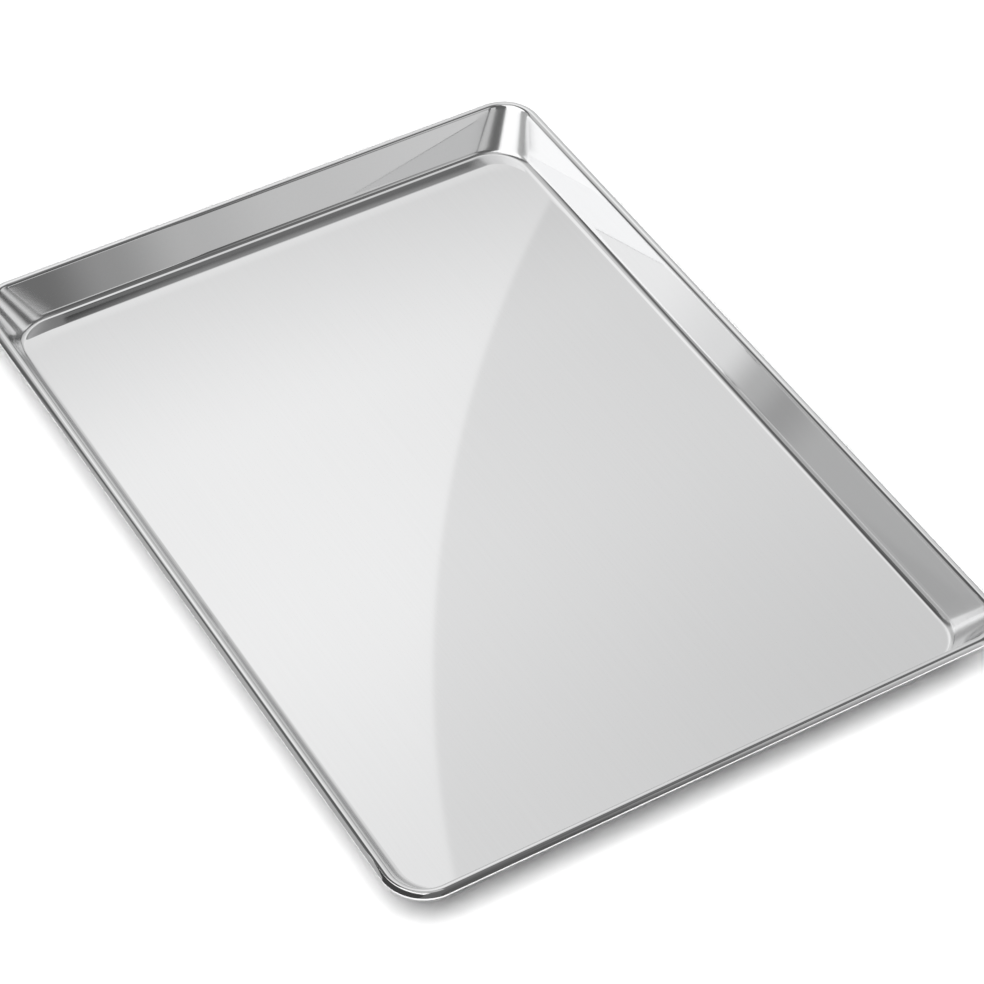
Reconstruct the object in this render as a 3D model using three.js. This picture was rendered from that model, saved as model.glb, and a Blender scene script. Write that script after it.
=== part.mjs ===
// Rimmed cookie sheet: one pressed aluminium sheet with a rolled bead, and the steel wire in that bead.
// Millimetres, +Z up. X runs along the long sides. The origin is the middle of the underside.

import * as THREE from "three";

// Driving dimensions
const RIM_LENGTH = 457.2; // over the bead, long way
const RIM_WIDTH = 330.2; // over the bead, short way
const RIM_HEIGHT = 22.9; // underside to the top of the bead
const RIM_CORNER_RADIUS = 22; // outside of the bead, in plan
const SHEET_THICKNESS = 0.9;
const WALL_FLARE = 24; // degrees out from upright, on the straight sides
const FLOOR_FILLET_RADIUS = 3.6; // inside radius where the floor turns up into the wall
const FLOOR_MARGIN_WIDTH = 14; // strip of floor beside the fillet that rises a little
const FLOOR_MARGIN_LIFT = 0.2;
const FLOOR_CORNER_RADIUS = 5; // flat floor's outline, in plan
const WIRE_DIAMETER = 3.2;
const WIRE_CLEARANCE = 0.3; // between the wire and the inside of the bead
const WIRE_BUTT_GAP = 0.6; // between the two ends of the wire
const CURL_SLIT = 0.4; // between the sheet's curled edge and the wall beside it

// Facets of the curved stretches
const CORNER_STEPS = 10;
const MARGIN_STEPS = 3;
const FILLET_STEPS = 5;
const BEAD_STEPS = 18;
const WIRE_SIDES = 12;

const ALUMINIUM = new THREE.MeshStandardMaterial({ color: 0xd8dadb, roughness: 0.1, metalness: 1 });
const GALVANISED_STEEL = new THREE.MeshStandardMaterial({ color: 0x9aa0a4, roughness: 0.4, metalness: 1 });

// Section sizes that follow from the driving dimensions
const beadHollowRadius = WIRE_DIAMETER / 2 + WIRE_CLEARANCE;
const beadRadius = beadHollowRadius + SHEET_THICKNESS;
const beadHeight = RIM_HEIGHT - beadRadius;
const floorDrop = beadHeight - SHEET_THICKNESS; // bead centre down to the floor's surface
const beadCornerRadius = RIM_CORNER_RADIUS - beadRadius; // bead's centre line, in plan
const curlWrap = 2 * Math.PI - Math.acos((beadHollowRadius - CURL_SLIT) / beadRadius);

const marginSlope = 2 * Math.atan2(FLOOR_MARGIN_LIFT, FLOOR_MARGIN_WIDTH);
const marginRadius = FLOOR_MARGIN_WIDTH / Math.sin(marginSlope);
const filletReach = FLOOR_FILLET_RADIUS * Math.sin(marginSlope); // fillet's centre past the margin
const filletUp = FLOOR_MARGIN_LIFT + FLOOR_FILLET_RADIUS * Math.cos(marginSlope) - floorDrop;

// How far inside the bead's centre line the flat floor ends, on the straight sides
const sideFlare = THREE.MathUtils.degToRad(WALL_FLARE);
const sideFilletIn =
  (beadRadius + FLOOR_FILLET_RADIUS - filletUp * Math.sin(sideFlare)) / Math.cos(sideFlare);
const sideFloorIn = sideFilletIn - filletReach + FLOOR_MARGIN_WIDTH;

// In plan, the floor's corner arc is centred this far inside the rim's, both ways
const cornerOffset = sideFloorIn + FLOOR_CORNER_RADIUS - beadCornerRadius;

// Sheet's section at a place round the rim, as points { inward, up, shift } from the bead's centre:
// along the inside face from the flat floor's edge to the curl's end, then back along the outside face.
// turn is 0 to 90 degrees through a corner, in radians. A side is what joins two corners.
function sheetSection(turn) {
  const spread = Math.cos(turn) + Math.sin(turn);
  const floorIn = beadCornerRadius - FLOOR_CORNER_RADIUS + cornerOffset * spread;
  const filletIn = floorIn - FLOOR_MARGIN_WIDTH + filletReach;
  const wallTouch = Math.acos((beadRadius + FLOOR_FILLET_RADIUS) / Math.hypot(filletIn, filletUp));
  const flare = Math.atan2(filletUp, filletIn) + wallTouch;
  const floorShift = cornerOffset * (Math.sin(turn) - Math.cos(turn));
  const straightDown = 1.5 * Math.PI;

  const face = (depth) => {
    const marginUp = marginRadius - floorDrop;
    const margin = new THREE.ArcCurve(
      floorIn, marginUp, marginRadius + depth, straightDown, straightDown - marginSlope, true);
    const fillet = new THREE.ArcCurve(
      filletIn, filletUp, FLOOR_FILLET_RADIUS + depth, straightDown - marginSlope, Math.PI + flare, true);
    const bead = new THREE.ArcCurve(0, 0, beadRadius - depth, flare, flare + curlWrap, false);
    const floorPoints = [...margin.getPoints(MARGIN_STEPS), ...fillet.getPoints(FILLET_STEPS).slice(1)];
    return [
      ...floorPoints.map((p) => ({ inward: p.x, up: p.y, shift: floorShift })),
      ...bead.getPoints(BEAD_STEPS).map((p) => ({ inward: p.x, up: p.y, shift: 0 })),
    ];
  };
  return [...face(0), ...face(SHEET_THICKNESS).reverse()];
}

// Places round the rim, counter-clockwise from the +X side: the steps of the four corners
function rimStations() {
  const centreX = RIM_LENGTH / 2 - RIM_CORNER_RADIUS;
  const centreY = RIM_WIDTH / 2 - RIM_CORNER_RADIUS;
  const corners = [[1, 1], [-1, 1], [-1, -1], [1, -1]];
  return corners.flatMap(([signX, signY], corner) =>
    Array.from({ length: CORNER_STEPS + 1 }, (_, step) => {
      const turn = ((step / CORNER_STEPS) * Math.PI) / 2;
      const angle = turn + (corner * Math.PI) / 2;
      return { turn, angle, centre: new THREE.Vector2(signX * centreX, signY * centreY) };
    }));
}

// A point of a section, set in its place round the rim
function placePoint({ angle, centre }, { inward, up, shift }) {
  const reach = beadCornerRadius - inward;
  return new THREE.Vector3(
    centre.x + reach * Math.cos(angle) - shift * Math.sin(angle),
    centre.y + reach * Math.sin(angle) + shift * Math.cos(angle),
    beadHeight + up);
}

// Closed solid skinned over a stack of closed rings, with the first and the last ring capped
function skinRings(rings) {
  const size = rings[0].length;
  const points = rings.flat();
  const faces = [];
  for (let level = 0; level + 1 < rings.length; level += 1) {
    for (let i = 0; i < size; i += 1) {
      const next = (i + 1) % size;
      const here = level * size;
      const above = here + size;
      faces.push(here + i, above + i, above + next, here + i, above + next, here + next);
    }
  }
  const capRing = (ring, start, flip) => {
    const centre = new THREE.Vector3();
    ring.forEach((p) => centre.addScaledVector(p, 1 / size));
    const hub = points.push(centre) - 1;
    for (let i = 0; i < size; i += 1) {
      const next = (i + 1) % size;
      faces.push(hub, start + (flip ? next : i), start + (flip ? i : next));
    }
  };
  capRing(rings[0], 0, false);
  capRing(rings.at(-1), (rings.length - 1) * size, true);

  const geometry = new THREE.BufferGeometry().setFromPoints(points);
  geometry.setIndex(faces);
  geometry.computeVertexNormals();
  return geometry;
}

function makePanSheet() {
  const stations = rimStations();
  const sections = stations.map(({ turn }) => sheetSection(turn));
  const rings = sections[0].map((_, level) =>
    stations.map((station, i) => placePoint(station, sections[i][level])));
  const mesh = new THREE.Mesh(skinRings(rings), ALUMINIUM);
  mesh.name = "pan_sheet";
  return mesh;
}

// The wire starts and ends at the middle of the -Y side, and follows the bead's centre line round
function makeRimWire() {
  const stations = rimStations();
  const lastCorner = stations.splice(3 * (CORNER_STEPS + 1));
  const butt = (side) => ({
    angle: lastCorner[0].angle,
    centre: new THREE.Vector2((side * WIRE_BUTT_GAP) / 2, lastCorner[0].centre.y),
  });
  const path = [butt(1), ...lastCorner, ...stations, butt(-1)];
  const circle = new THREE.ArcCurve(0, 0, WIRE_DIAMETER / 2, Math.PI, -Math.PI, true);
  const outline = circle.getPoints(WIRE_SIDES).slice(0, WIRE_SIDES);
  const rings = path.map((station) =>
    outline.map((p) => placePoint(station, { inward: p.x, up: p.y, shift: 0 })));
  const mesh = new THREE.Mesh(skinRings(rings), GALVANISED_STEEL);
  mesh.name = "rim_wire";
  return mesh;
}

const cookieSheet = new THREE.Group();
cookieSheet.add(makePanSheet(), makeRimWire());

export default cookieSheet;
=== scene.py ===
"""Rimmed cookie sheet of bright aluminium on a white floor, in soft studio light. Metres, +Z up."""

import math

import bpy
import numpy as np
from mathutils import Matrix, Vector


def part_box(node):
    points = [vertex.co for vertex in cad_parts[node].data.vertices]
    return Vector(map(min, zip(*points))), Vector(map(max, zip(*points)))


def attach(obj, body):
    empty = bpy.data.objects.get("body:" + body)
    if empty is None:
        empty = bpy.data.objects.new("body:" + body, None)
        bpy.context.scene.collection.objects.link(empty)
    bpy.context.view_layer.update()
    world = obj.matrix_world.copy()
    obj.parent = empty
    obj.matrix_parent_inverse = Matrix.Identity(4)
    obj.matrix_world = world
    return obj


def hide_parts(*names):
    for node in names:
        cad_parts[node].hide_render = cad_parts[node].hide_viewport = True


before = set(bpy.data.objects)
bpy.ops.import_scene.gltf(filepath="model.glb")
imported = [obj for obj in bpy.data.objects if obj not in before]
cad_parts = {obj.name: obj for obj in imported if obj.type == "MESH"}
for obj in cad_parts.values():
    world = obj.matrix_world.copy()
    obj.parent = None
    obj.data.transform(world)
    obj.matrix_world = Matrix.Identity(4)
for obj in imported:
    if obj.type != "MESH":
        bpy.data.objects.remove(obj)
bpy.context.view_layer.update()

MM = 0.001
DEGREE = math.pi / 180
ORIGIN = Vector((0, 0, 0))

# Camera, as the photograph was taken. Its sensor and lens are in millimetres.
SENSOR_WIDTH = 36.0
CAMERA_LENS = 124.38
CAMERA_PLACE = Vector((1.01371, -0.59802, 1.20362))
CAMERA_TARGET = Vector((0.01037, 0.00765, 0.0002))
CAMERA_ROLL = 0.74 * DEGREE

# The pan's right side is +Y and its back is -X.
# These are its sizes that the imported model's box doesn't give.
RIM_CORNER_RADIUS = 22 * MM
SHEET_THICKNESS = 0.9 * MM
WALL_FLARE = 24 * DEGREE
FLOOR_FILLET_RADIUS = 3.6 * MM
FLOOR_MARGIN_WIDTH = 14 * MM
FLOOR_MARGIN_LIFT = 0.2 * MM  # at the back
FLOOR_CORNER_RADIUS = 5 * MM

# Bead: half its width, and the arcs that it is bent in from the wall outwards, as (radius, end angle)
BEAD_RADIUS = 2.8 * MM
BEAD_ARCS = (
    (2.2 * MM, 70 * DEGREE),  # inner edge
    (2.9 * MM, 122 * DEGREE),  # top
    (8.0 * MM, 136 * DEGREE),  # slanted outer face
    (0.25 * MM, 190 * DEGREE),  # outer edge
    (6.0 * MM, 220 * DEGREE),  # skirt
    (2.5 * MM, 315 * DEGREE),  # curl
)
BEAD_TOP_ARC = 1
BEAD_EDGE_ARC = 3
BEND_INSET_SHARE = 0.8  # largest share of an arc's radius that the hidden face is set in by

# On the right side the bead's inner edge and the fillet are bent more gently
RIGHT_BEAD_GAIN = 1.0 * MM
RIGHT_FILLET_GAIN = 1.4 * MM

# The corners are duller than the rest, and so are the walls' ends for this length
HAZE_REACH = 8 * MM

# Facets of the fine mesh
CORNER_STEPS = 28
SIDE_STEP = 4 * MM
MARGIN_STEPS = 14
FILLET_STEPS = 12
WALL_STEPS = 14
BEAD_ARC_STEPS = 12
HIDDEN_ARC_STEPS = 4  # on the face inside the bead
SHARP_ANGLE = 50 * DEGREE

# Rings that fill the flat floor: the first close to its edge, then even steps to near its middle
FLOOR_EDGE_SHARE = 0.995
FLOOR_FIRST_SHARE = 0.97
FLOOR_LAST_SHARE = 0.06
FLOOR_RINGS = 14

# Finishes, with two tones and two roughnesses that a pattern runs between
ALUMINIUM_TONES = ((0.895, 0.897, 0.90), (0.925, 0.926, 0.93))
ALUMINIUM_ROUGHNESS = (0.02, 0.035)
ALUMINIUM_GRAIN = (12, 900, 900)  # drawn out along X, as the sheet is rolled
GRAIN_DETAIL = 3.0
HAZE_ROUGHNESS = 0.14  # added where the sheet is dullest
WIRE_TONES = ((0.5, 0.52, 0.54), (0.68, 0.7, 0.72))
WIRE_ROUGHNESS = (0.3, 0.5)
WIRE_SPANGLE = 900.0

# Stage floor. Its glow is stops of (distance from the pan's middle, level), with X shrunk by the pan's
# width over its length.
STAGE_HALF = 8.0
STAGE_DROP = 0.2 * MM  # below the pan's underside
STAGE_TONE = (0.94, 0.94, 0.94)
STAGE_ROUGHNESS = 0.9
STAGE_GLOW = ((0.19, 0.0), (0.36, 0.3))

# The world's level, by the upward part of the way that is looked
WORLD_LEVELS = ((0.0, 0.12), (0.2, 0.12), (0.85, 0.13), (0.95, 0.17), (1.0, 0.17))

# Way across a card that its slanted stops run, from its top left down
FALLING_DIAGONAL = (math.sqrt(0.5), -math.sqrt(0.5), 0)

# The rim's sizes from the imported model's box, and the section sizes that follow
pan_low, pan_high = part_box("pan_sheet")
RIM_LENGTH = pan_high.x - pan_low.x
RIM_WIDTH = pan_high.y - pan_low.y
RIM_HEIGHT = pan_high.z - pan_low.z
BEAD_HEIGHT = RIM_HEIGHT - BEAD_RADIUS
FLOOR_DROP = BEAD_HEIGHT - SHEET_THICKNESS  # from the bead's middle down to the floor
BEAD_CORNER_RADIUS = RIM_CORNER_RADIUS - BEAD_RADIUS


def bead_arcs(inner_gain):
    """The bead's arcs as (centre, radius, end), with centres as (inward, up) from its middle.

    Each arc runs on from the one before. inner_gain widens the first.
    """
    radii = [radius for radius, _ in BEAD_ARCS]
    radii[0] += inner_gain
    ends = [end for _, end in BEAD_ARCS]
    centres = [np.zeros(2)]
    for radius, following, end in zip(radii, radii[1:], ends):
        centres.append(centres[-1] + (radius - following) * np.array([math.cos(end), math.sin(end)]))
    crest = centres[BEAD_TOP_ARC][1] + radii[BEAD_TOP_ARC]
    outermost = centres[BEAD_EDGE_ARC][0] - radii[BEAD_EDGE_ARC]
    move = np.array([-BEAD_RADIUS - outermost, BEAD_RADIUS - crest])
    return [(centre + move, radius, end) for centre, radius, end in zip(centres, radii, ends)]


# A wider fillet's centre moves in by this share of its gain in radius, which leaves the wall in place
FOOT_TANGENT = math.tan(math.pi / 4 - WALL_FLARE / 2)

# The wall touches the bead's inner edge and the fillet, which says how far in the flat floor ends
SIDE_INNER_CENTRE, SIDE_INNER_RADIUS, _ = bead_arcs(0.0)[0]
SIDE_TOUCH = SIDE_INNER_RADIUS + FLOOR_FILLET_RADIUS
SIDE_FILLET_RISE = FLOOR_MARGIN_LIFT + FLOOR_FILLET_RADIUS - FLOOR_DROP - SIDE_INNER_CENTRE[1]
SIDE_WALL_IN = (SIDE_TOUCH - SIDE_FILLET_RISE * math.sin(WALL_FLARE)) / math.cos(WALL_FLARE)
SIDE_FLOOR_IN = SIDE_INNER_CENTRE[0] + SIDE_WALL_IN + FLOOR_MARGIN_WIDTH

# In plan, the floor's corner arc is centred this far inside the rim's, both ways
CORNER_OFFSET = SIDE_FLOOR_IN + FLOOR_CORNER_RADIUS - BEAD_CORNER_RADIUS


def facing(place, target, axis):
    """Matrix that sets an object at a place, with one axis towards a target and its Y upward."""
    turn = (target - place).to_track_quat(axis, "Y").to_matrix().to_4x4()
    return Matrix.Translation(place) @ turn


def make_camera():
    data = bpy.data.cameras.new("camera")
    data.sensor_width = SENSOR_WIDTH
    data.lens = CAMERA_LENS
    camera = bpy.data.objects.new("camera", data)
    bpy.context.scene.collection.objects.link(camera)
    roll = Matrix.Rotation(CAMERA_ROLL, 4, "Z")
    camera.matrix_world = facing(CAMERA_PLACE, CAMERA_TARGET, "-Z") @ roll
    bpy.context.scene.camera = camera


def arc(centre, radius, start, end, steps):
    angles = np.linspace(start, end, steps + 1)
    return np.column_stack([centre[0] + radius * np.cos(angles), centre[1] + radius * np.sin(angles)])


def sheet_face(turn, angle, depth):
    """One face of the sheet's section at a turn through a corner, as rows of (inward, up, shift, haze).

    angle is the way that the section faces, from +X.
    depth is how far the face lies behind the tray's inside.
    """
    back_share = max(0.0, -math.cos(angle)) ** 2
    right_share = max(0.0, math.sin(angle)) ** 2
    lift = FLOOR_MARGIN_LIFT * back_share
    arcs = bead_arcs(RIGHT_BEAD_GAIN * right_share)
    inner_centre, inner_radius, _ = arcs[0]
    fillet_gain = RIGHT_FILLET_GAIN * right_share
    fillet_radius = FLOOR_FILLET_RADIUS + fillet_gain

    spread = math.cos(turn) + math.sin(turn)
    floor_in = BEAD_CORNER_RADIUS - FLOOR_CORNER_RADIUS + CORNER_OFFSET * spread
    fillet_in = floor_in - FLOOR_MARGIN_WIDTH + fillet_gain * FOOT_TANGENT
    fillet_up = lift + fillet_radius - FLOOR_DROP
    across = fillet_in - inner_centre[0]
    rise = fillet_up - inner_centre[1]
    wall_touch = math.acos((inner_radius + fillet_radius) / math.hypot(across, rise))
    flare = math.atan2(rise, across) + wall_touch
    shift = CORNER_OFFSET * (math.sin(turn) - math.cos(turn))

    # The margin rises by a smooth step
    step = np.linspace(0, 1, MARGIN_STEPS + 1)
    margin_up = lift * step ** 2 * (3 - 2 * step) - FLOOR_DROP - depth
    margin = np.column_stack([floor_in + (fillet_in - floor_in) * step, margin_up])

    straight_down = 1.5 * math.pi
    fillet = arc(
        (fillet_in, fillet_up), fillet_radius + depth, straight_down, math.pi + flare, FILLET_STEPS)
    bead = []
    steps = HIDDEN_ARC_STEPS if depth else BEAD_ARC_STEPS
    start = flare
    for centre, radius, end in arcs:
        inset = min(depth, BEND_INSET_SHARE * radius)
        bead.extend(arc(centre, radius - inset, start, end, steps)[1 if bead else 0:])
        start = end
    bead = np.array(bead)

    share = np.linspace(0, 1, WALL_STEPS + 1)[1:-1]
    wall = fillet[-1] + share[:, None] * (bead[0] - fillet[-1])

    foot = len(margin) + len(fillet) - 1
    points = np.vstack([margin, fillet[1:], wall, bead])
    shifts = np.concatenate([np.full(foot, shift), shift * (1 - share), np.zeros(len(bead))])
    haze = np.zeros(len(points))
    haze[len(margin):foot + len(share)] = 1.0
    return np.column_stack([points, shifts, haze])


def sheet_section(turn, angle):
    return np.vstack([sheet_face(turn, angle, 0.0), sheet_face(turn, angle, SHEET_THICKNESS)[::-1]])


def corner_places(corner, sign_x, sign_y):
    """The sections through one corner, each as rows of (x, y, z, haze)."""
    centre_x = sign_x * (RIM_LENGTH / 2 - RIM_CORNER_RADIUS)
    centre_y = sign_y * (RIM_WIDTH / 2 - RIM_CORNER_RADIUS)
    places = []
    for turn in np.linspace(0, math.pi / 2, CORNER_STEPS + 1):
        angle = turn + corner * math.pi / 2
        inward, up, shift, haze = sheet_section(turn, angle).T
        reach = BEAD_CORNER_RADIUS - inward
        x = centre_x + reach * math.cos(angle) - shift * math.sin(angle)
        y = centre_y + reach * math.sin(angle) + shift * math.cos(angle)
        places.append(np.column_stack([x, y, BEAD_HEIGHT + up, haze]))
    return places


def sheet_rings():
    """Rings from the flat floor's edge out to the bead's end, and back along the sheet's other face.

    Each ring is rows of (x, y, z, haze).
    """
    signs = ((1, 1), (-1, 1), (-1, -1), (1, -1))
    corners = [corner_places(corner, *sign) for corner, sign in enumerate(signs)]
    stations = []
    for places, following in zip(corners, corners[1:] + corners[:1]):
        stations.extend(places)
        first, last = places[-1], following[0]
        length = np.linalg.norm(last[-1] - first[-1])
        for share in np.linspace(0, 1, round(length / SIDE_STEP) + 1)[1:-1]:
            place = first + share * (last - first)
            place[:, 3] *= max(0.0, 1 - length * min(share, 1 - share) / HAZE_REACH)
            stations.append(place)
    return list(np.array(stations).transpose(1, 0, 2))


def floor_rings(edge):
    """Rings that fill the flat floor, from just inside its edge inwards, and its middle."""
    middle = edge.mean(axis=0)
    shares = [FLOOR_EDGE_SHARE, *np.linspace(FLOOR_FIRST_SHARE, FLOOR_LAST_SHARE, FLOOR_RINGS)]
    return [middle + share * (edge - middle) for share in shares], middle


def add_mesh(name, points, faces, material):
    mesh = bpy.data.meshes.new(name)
    mesh.from_pydata([tuple(p) for p in points], [], faces)
    mesh.validate()
    mesh.shade_smooth()
    mesh.materials.append(material)
    piece = bpy.data.objects.new(name, mesh)
    bpy.context.scene.collection.objects.link(piece)
    return piece


def add_rectangle(name, left, right, low, high, material):
    corners = [(left, low, 0), (right, low, 0), (right, high, 0), (left, high, 0)]
    return add_mesh(name, corners, [(0, 1, 2, 3)], material)


def make_pan_sheet(material):
    """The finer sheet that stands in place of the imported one."""
    rings = sheet_rings()
    inner, inner_middle = floor_rings(rings[0])
    outer, outer_middle = floor_rings(rings[-1])
    rings = inner[::-1] + rings + outer
    size = len(rings[0])
    points = np.vstack(rings + [inner_middle[None], outer_middle[None]])
    faces = []
    for level in range(len(rings) - 1):
        here = level * size
        above = here + size
        for i in range(size):
            after = (i + 1) % size
            faces.append((here + i, above + i, above + after, here + after))
    hub = len(rings) * size
    last = (len(rings) - 1) * size
    for i in range(size):
        after = (i + 1) % size
        faces.append((hub, i, after))
        faces.append((hub + 1, last + after, last + i))
    piece = add_mesh("pressed_sheet", points[:, :3], faces, material)
    piece.data.set_sharp_from_angle(angle=SHARP_ANGLE)
    haze = piece.data.attributes.new("haze", "FLOAT", "POINT")
    haze.data.foreach_set("value", points[:, 3])
    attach(piece, "root")
    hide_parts("pan_sheet")


def node_material(name):
    material = bpy.data.materials.new(name)
    material.use_nodes = True
    tree = material.node_tree
    return material, tree, tree.nodes["Principled BSDF"]


def add_math(tree, operation, *values):
    """Result of a Math node, as a socket. Each value is a socket or a number."""
    node = tree.nodes.new("ShaderNodeMath")
    node.operation = operation
    for socket, value in zip(node.inputs, values):
        if isinstance(value, bpy.types.NodeSocket):
            tree.links.new(value, socket)
        else:
            socket.default_value = value
    return node.outputs["Value"]


def add_vector_math(tree, operation, vector, constant=(0, 0, 0)):
    """Results of a Vector Math node on a vector and a constant, as its sockets."""
    node = tree.nodes.new("ShaderNodeVectorMath")
    node.operation = operation
    tree.links.new(vector, node.inputs[0])
    node.inputs[1].default_value = constant
    return node.outputs


def set_stops(ramp, stops):
    """Sets a ramp to grey levels, from stops of (place from 0 to 1, level)."""
    elements = ramp.color_ramp.elements
    while len(elements) < len(stops):
        elements.new(0.5)
    for element, (place, level) in zip(elements, stops):
        element.position = place
        element.color = (level, level, level, 1)


def add_ramp(tree, value, stops):
    """Level that follows a value through (value, level) stops, as a socket."""
    first, last = stops[0][0], stops[-1][0]
    share = tree.nodes.new("ShaderNodeMapRange")
    share.inputs["From Min"].default_value = first
    share.inputs["From Max"].default_value = last
    ramp = tree.nodes.new("ShaderNodeValToRGB")
    ramp.color_ramp.interpolation = "EASE"
    set_stops(ramp, [((place - first) / (last - first), level) for place, level in stops])
    tree.links.new(value, share.inputs["Value"])
    tree.links.new(share.outputs["Result"], ramp.inputs["Fac"])
    return ramp.outputs["Color"]


def tint(tree, shader, pattern, tones):
    """Colours a shader between two tones, by a pattern."""
    tone = tree.nodes.new("ShaderNodeValToRGB")
    for element, colour in zip(tone.color_ramp.elements, tones):
        element.color = (*colour, 1)
    tree.links.new(pattern, tone.inputs["Fac"])
    tree.links.new(tone.outputs["Color"], shader.inputs["Base Color"])


def add_range(tree, pattern, least, most):
    """Value that a pattern moves between two limits, as a socket."""
    node = tree.nodes.new("ShaderNodeMapRange")
    node.inputs["To Min"].default_value = least
    node.inputs["To Max"].default_value = most
    tree.links.new(pattern, node.inputs["Value"])
    return node.outputs["Result"]


def make_aluminium():
    """Near mirror with a fine rolled grain in its tone and gloss, duller where the sheet's haze says."""
    material, tree, shader = node_material("bright_aluminium")
    shader.inputs["Metallic"].default_value = 1.0
    place = tree.nodes.new("ShaderNodeTexCoord")
    stretch = tree.nodes.new("ShaderNodeMapping")
    stretch.inputs["Scale"].default_value = ALUMINIUM_GRAIN
    grain = tree.nodes.new("ShaderNodeTexNoise")
    grain.inputs["Scale"].default_value = 1.0
    grain.inputs["Detail"].default_value = GRAIN_DETAIL
    tree.links.new(place.outputs["Object"], stretch.inputs["Vector"])
    tree.links.new(stretch.outputs["Vector"], grain.inputs["Vector"])
    tint(tree, shader, grain.outputs["Fac"], ALUMINIUM_TONES)

    haze = tree.nodes.new("ShaderNodeAttribute")
    haze.attribute_name = "haze"
    gloss = add_range(tree, grain.outputs["Fac"], *ALUMINIUM_ROUGHNESS)
    roughness = add_math(tree, "MULTIPLY_ADD", haze.outputs["Fac"], HAZE_ROUGHNESS, gloss)
    tree.links.new(roughness, shader.inputs["Roughness"])
    return material


def make_galvanised():
    """Satin zinc with small spangles."""
    material, tree, shader = node_material("galvanised_wire")
    shader.inputs["Metallic"].default_value = 1.0
    spangle = tree.nodes.new("ShaderNodeTexVoronoi")
    spangle.inputs["Scale"].default_value = WIRE_SPANGLE
    tint(tree, shader, spangle.outputs["Distance"], WIRE_TONES)
    roughness = add_range(tree, spangle.outputs["Distance"], *WIRE_ROUGHNESS)
    tree.links.new(roughness, shader.inputs["Roughness"])
    return material


def make_floor():
    """White floor that takes the pan's shadow, and glows further out where it is seen or mirrored."""
    material, tree, shader = node_material("white_floor")
    shader.inputs["Base Color"].default_value = (*STAGE_TONE, 1)
    shader.inputs["Roughness"].default_value = STAGE_ROUGHNESS
    shader.inputs["Specular IOR Level"].default_value = 0.0
    shader.inputs["Emission Color"].default_value = (1, 1, 1, 1)

    path = tree.nodes.new("ShaderNodeLightPath").outputs
    mirrored = add_math(tree, "MAXIMUM", path["Is Glossy Ray"], path["Is Transmission Ray"])
    seen = add_math(tree, "MAXIMUM", path["Is Camera Ray"], mirrored)

    place = tree.nodes.new("ShaderNodeTexCoord").outputs["Object"]
    squashed = add_vector_math(tree, "MULTIPLY", place, (RIM_WIDTH / RIM_LENGTH, 1, 1))["Vector"]
    reach = add_vector_math(tree, "LENGTH", squashed)["Value"]
    glow = add_math(tree, "MULTIPLY", seen, add_ramp(tree, reach, STAGE_GLOW))
    tree.links.new(glow, shader.inputs["Emission Strength"])

    floor = add_rectangle("floor", -STAGE_HALF, STAGE_HALF, -STAGE_HALF, STAGE_HALF, material)
    floor.location.z = -STAGE_DROP


def make_world():
    world = bpy.data.worlds.new("studio")
    bpy.context.scene.world = world
    world.use_nodes = True
    tree = world.node_tree
    place = tree.nodes.new("ShaderNodeTexCoord")
    split = tree.nodes.new("ShaderNodeSeparateXYZ")
    ramp = tree.nodes.new("ShaderNodeValToRGB")
    set_stops(ramp, WORLD_LEVELS)
    tree.links.new(place.outputs["Generated"], split.inputs["Vector"])
    tree.links.new(split.outputs["Z"], ramp.inputs["Fac"])
    tree.links.new(ramp.outputs["Color"], tree.nodes["Background"].inputs["Color"])


def make_card(name, centre, across, upward, aim=ORIGIN, slant=None, disc=None):
    """A glowing card that faces aim, which the metal mirrors and the camera doesn't see.

    across and upward are (place, level) stops from the card's centre, and it ends where they end.
    slant is such stops along the falling diagonal. disc is a round screen: (x, y, radius, edge, level).
    """
    material = bpy.data.materials.new(name)
    material.use_nodes = True
    tree = material.node_tree
    tree.nodes.clear()
    output = tree.nodes.new("ShaderNodeOutputMaterial")
    glow = tree.nodes.new("ShaderNodeEmission")
    tree.links.new(glow.outputs["Emission"], output.inputs["Surface"])

    place = tree.nodes.new("ShaderNodeTexCoord").outputs["Object"]
    split = tree.nodes.new("ShaderNodeSeparateXYZ")
    tree.links.new(place, split.inputs["Vector"])
    across_level = add_ramp(tree, split.outputs["X"], across)
    upward_level = add_ramp(tree, split.outputs["Y"], upward)
    strength = add_math(tree, "MULTIPLY", across_level, upward_level)
    if slant:
        diagonal = add_vector_math(tree, "DOT_PRODUCT", place, FALLING_DIAGONAL)["Value"]
        strength = add_math(tree, "MULTIPLY", strength, add_ramp(tree, diagonal, slant))
    if disc:
        x, y, radius, edge, level = disc
        reach = add_vector_math(tree, "DISTANCE", place, (x, y, 0))["Value"]
        screen = add_ramp(tree, reach, ((radius - edge, level), (radius + edge, 1)))
        strength = add_math(tree, "MULTIPLY", strength, screen)
    tree.links.new(strength, glow.inputs["Strength"])

    card = add_rectangle(name, across[0][0], across[-1][0], upward[0][0], upward[-1][0], material)
    card.matrix_world = facing(centre, aim, "Z")
    card.visible_camera = False
    card.visible_diffuse = False
    card.visible_shadow = False


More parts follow.
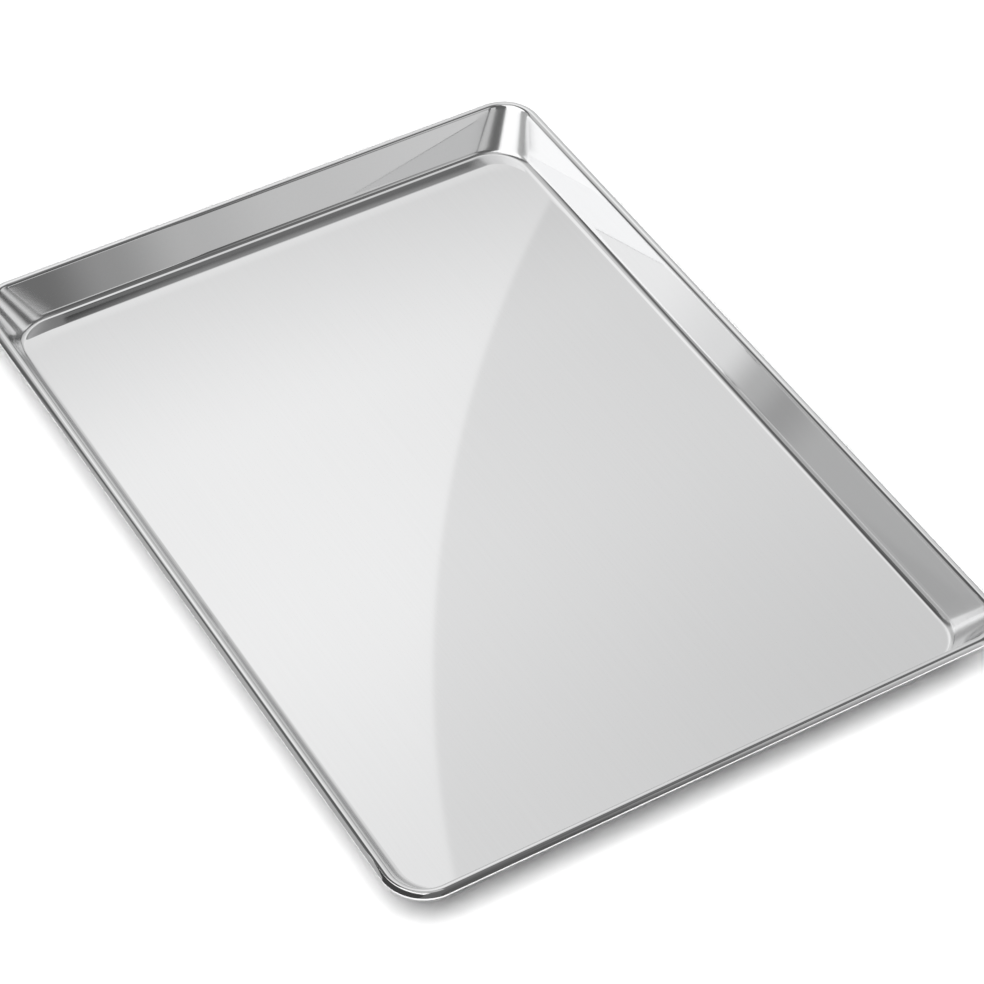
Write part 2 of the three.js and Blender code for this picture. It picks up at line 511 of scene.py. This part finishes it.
def make_cards():
    """The studio that the metal mirrors."""
    # Large panel behind the pan, which the pan's floor mirrors with the round screen's edge as an arc
    make_card(
        "back_panel", centre=Vector((-1.35, 0.6, 0.97)), aim=Vector((0, 0.6, -0.15)),
        across=((-2.9, 0.8), (-1.5, 1.0), (-1.25, 0.75), (-0.8, 0.66), (-0.5, 0.98), (-0.2, 1.0),
                (0.5, 0.88), (1.8, 0.7), (3.0, 0.66)),
        upward=((-1.2, 0.6), (0.05, 0.72), (0.3, 0.92), (0.45, 0.93), (0.8, 0.84), (1.38, 0.84),
                (1.53, 0.19)),
        slant=((-1.24, 0.15), (-0.9, 1.0)), disc=(0.835, 0.913, 0.957, 0.004, 0.87))
    # Low card at the back left, which the right wall mirrors
    make_card(
        "left_card", centre=Vector((-1.34, -1.125, 0.235)), aim=Vector((0, 0, 0.235)),
        across=((-0.85, 0.44), (-0.47, 0.47), (-0.41, 0.37), (-0.37, 0.48), (-0.32, 0.8), (-0.2, 0.94),
                (0.5, 0.95)),
        upward=((-0.135, 1.0), (0.135, 1.0)))
    # Two cards at the front right, one above the other, for the back wall and the front bead
    make_card(
        "front_low_card", centre=Vector((1.131, 1.131, 0.13)), aim=Vector((0, 0, 0.13)),
        across=((-1.5, 0.8), (-1.0, 0.75), (-0.75, 0.45), (-0.5, 0.1), (-0.1, 0.12), (0.1, 0.3),
                (0.3, 0.5), (0.4, 0.62), (0.65, 0.56), (0.78, 0.47), (0.89, 0.3), (0.98, 0.16),
                (1.5, 0.1)),
        upward=((-0.13, 1.0), (0.13, 1.0)))
    make_card(
        "front_card", centre=Vector((1.131, 1.131, 1.08)), aim=Vector((0, 0, 1.08)),
        across=((-1.5, 0.8), (-1.0, 0.75), (-0.75, 0.45), (-0.55, 0.1), (-0.25, 0.12), (0.0, 0.6),
                (0.14, 0.66), (0.36, 0.42), (0.54, 0.2), (0.72, 0.1), (1.5, 0.08)),
        upward=((-0.82, 1.0), (0.82, 1.0)))
    # Cards for the corners and the left bead
    make_card(
        "front_left_card", centre=Vector((1.591, -0.167, 0.565)), aim=Vector((0, 0, 0.565)),
        across=((-0.9, 0.55), (0.5, 0.58), (0.66, 0.3)), upward=((-0.28, 1.0), (0.28, 1.0)))
    make_card(
        "side_softbox", centre=Vector((0.196, -1.396, 0.951)),
        across=((-1.0, 1.15), (1.1, 1.15)), upward=((-0.32, 1.0), (1.8, 1.0)),
        slant=((0.5, 1.0), (0.7, 0.42)))
    make_card(
        "left_mid_card", centre=Vector((-0.66, -1.62, 0.78)),
        across=((-0.5, 0.42), (0.7, 0.42), (0.82, 0.12)), upward=((-0.45, 1.0), (0.45, 1.0)))
    # Dark card beside the nearest corner, which keeps the softbox off the bead's slanted face there
    make_card(
        "corner_flag", centre=Vector((0.258, -0.258, 0.126)), aim=Vector((0.222, -0.158, 0.02)),
        across=((-0.068, 0.055), (0.18, 0.055)), upward=((-0.06, 1.0), (0.06, 1.0)))
    # Card overhead, which the pan's floor mirrors in a view from above
    make_card(
        "ceiling_card", centre=Vector((0, -0.02, 2.0)),
        across=((-0.58, 0.17), (-0.47, 0.55), (0.47, 0.55), (0.58, 0.17)),
        upward=((-0.46, 0.4), (-0.35, 1.0), (0.35, 1.0), (0.46, 0.4)))


def make_lamp(name, place, size, power):
    """A round lamp towards the pan. It lights the floor, and the metal doesn't mirror it."""
    data = bpy.data.lights.new(name, "AREA")
    data.shape = "DISK"
    data.size = size
    data.energy = power
    lamp = bpy.data.objects.new(name, data)
    bpy.context.scene.collection.objects.link(lamp)
    lamp.matrix_world = facing(place, ORIGIN, "-Z")
    lamp.visible_glossy = False


bpy.context.scene.view_settings.view_transform = "Standard"
make_camera()
make_pan_sheet(make_aluminium())
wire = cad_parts["rim_wire"]
wire.data.materials.clear()
wire.data.materials.append(make_galvanised())
make_floor()
make_world()
make_cards()
make_lamp("floor_light", place=Vector((1.0, -1.2, 4.0)), size=3.2, power=192)
make_lamp("side_light", place=Vector((0, 3.0, 3.0)), size=1.5, power=26)
